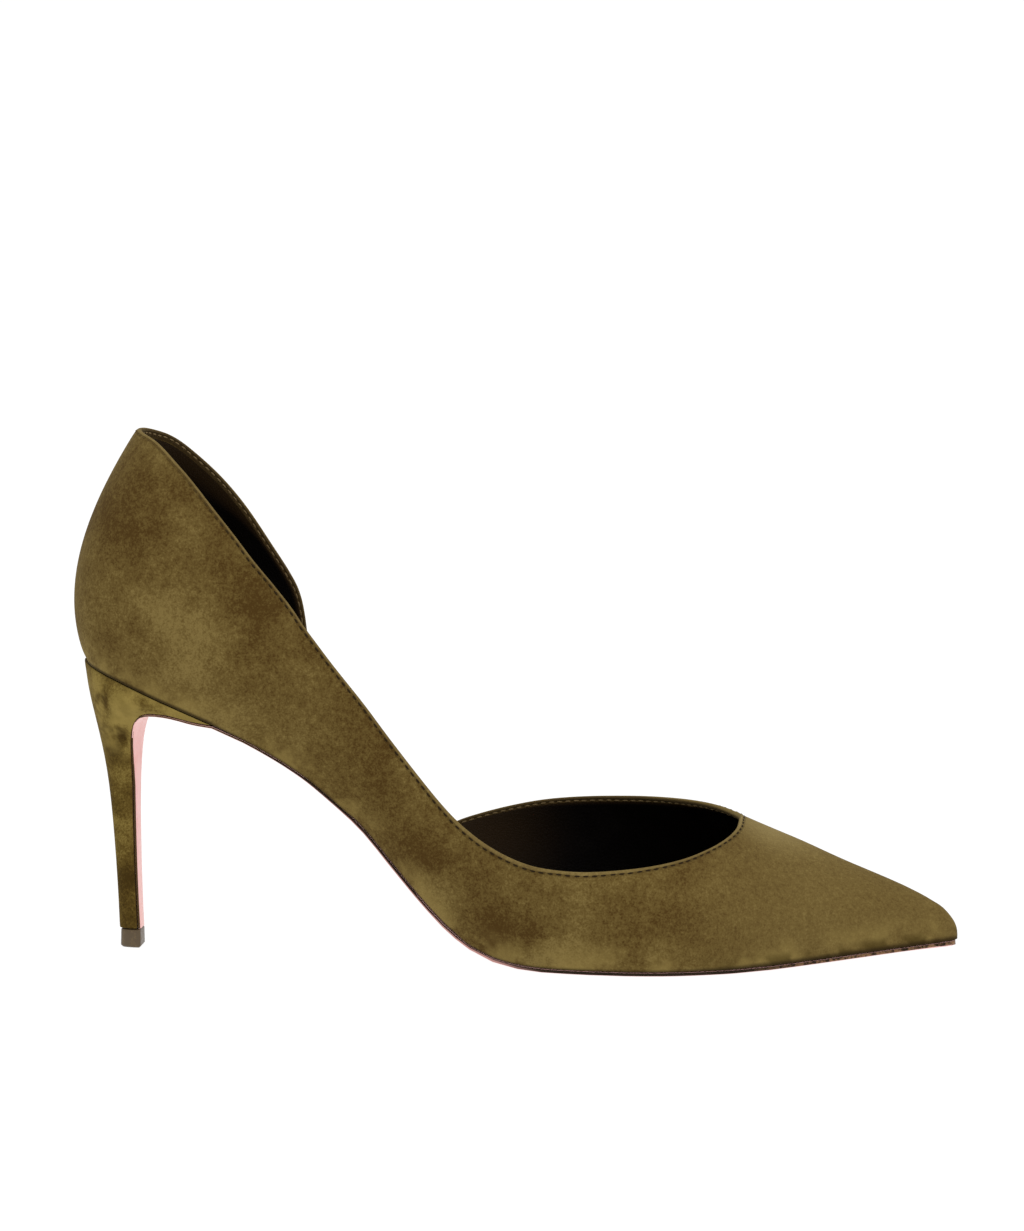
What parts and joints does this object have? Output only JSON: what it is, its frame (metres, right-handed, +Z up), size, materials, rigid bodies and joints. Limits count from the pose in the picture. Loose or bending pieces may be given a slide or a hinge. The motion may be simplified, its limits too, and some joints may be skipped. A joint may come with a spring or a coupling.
{
  "type": "pointed stiletto pump",
  "caption": "Right-foot pointed pump in olive suede on a slim covered stiletto heel, cut away on its inner side between vamp and heel quarter.",
  "frame": {"origin": "middle of the heel tip's worn face, on the floor", "axes": "+X towards the toe, +Y towards the inner side of the foot, +Z up; the heel tip and the forefoot's tread stand on Z = 0"},
  "size_m": [0.2586, 0.0791, 0.1524],
  "materials": {
    "suede": "napped suede, mottled olive",
    "heel_cover": "suede drawn over the heel block",
    "lining": "smooth dark brown",
    "sole_leather": "pale rose, lightly polished",
    "tip": "moulded taupe"
  },
  "bodies": {
    "root": {"upper": "suede", "insole": "lining", "outsole": "sole_leather", "heel": "heel_cover", "heel_tip": "tip"}
  },
  "joints": []
}
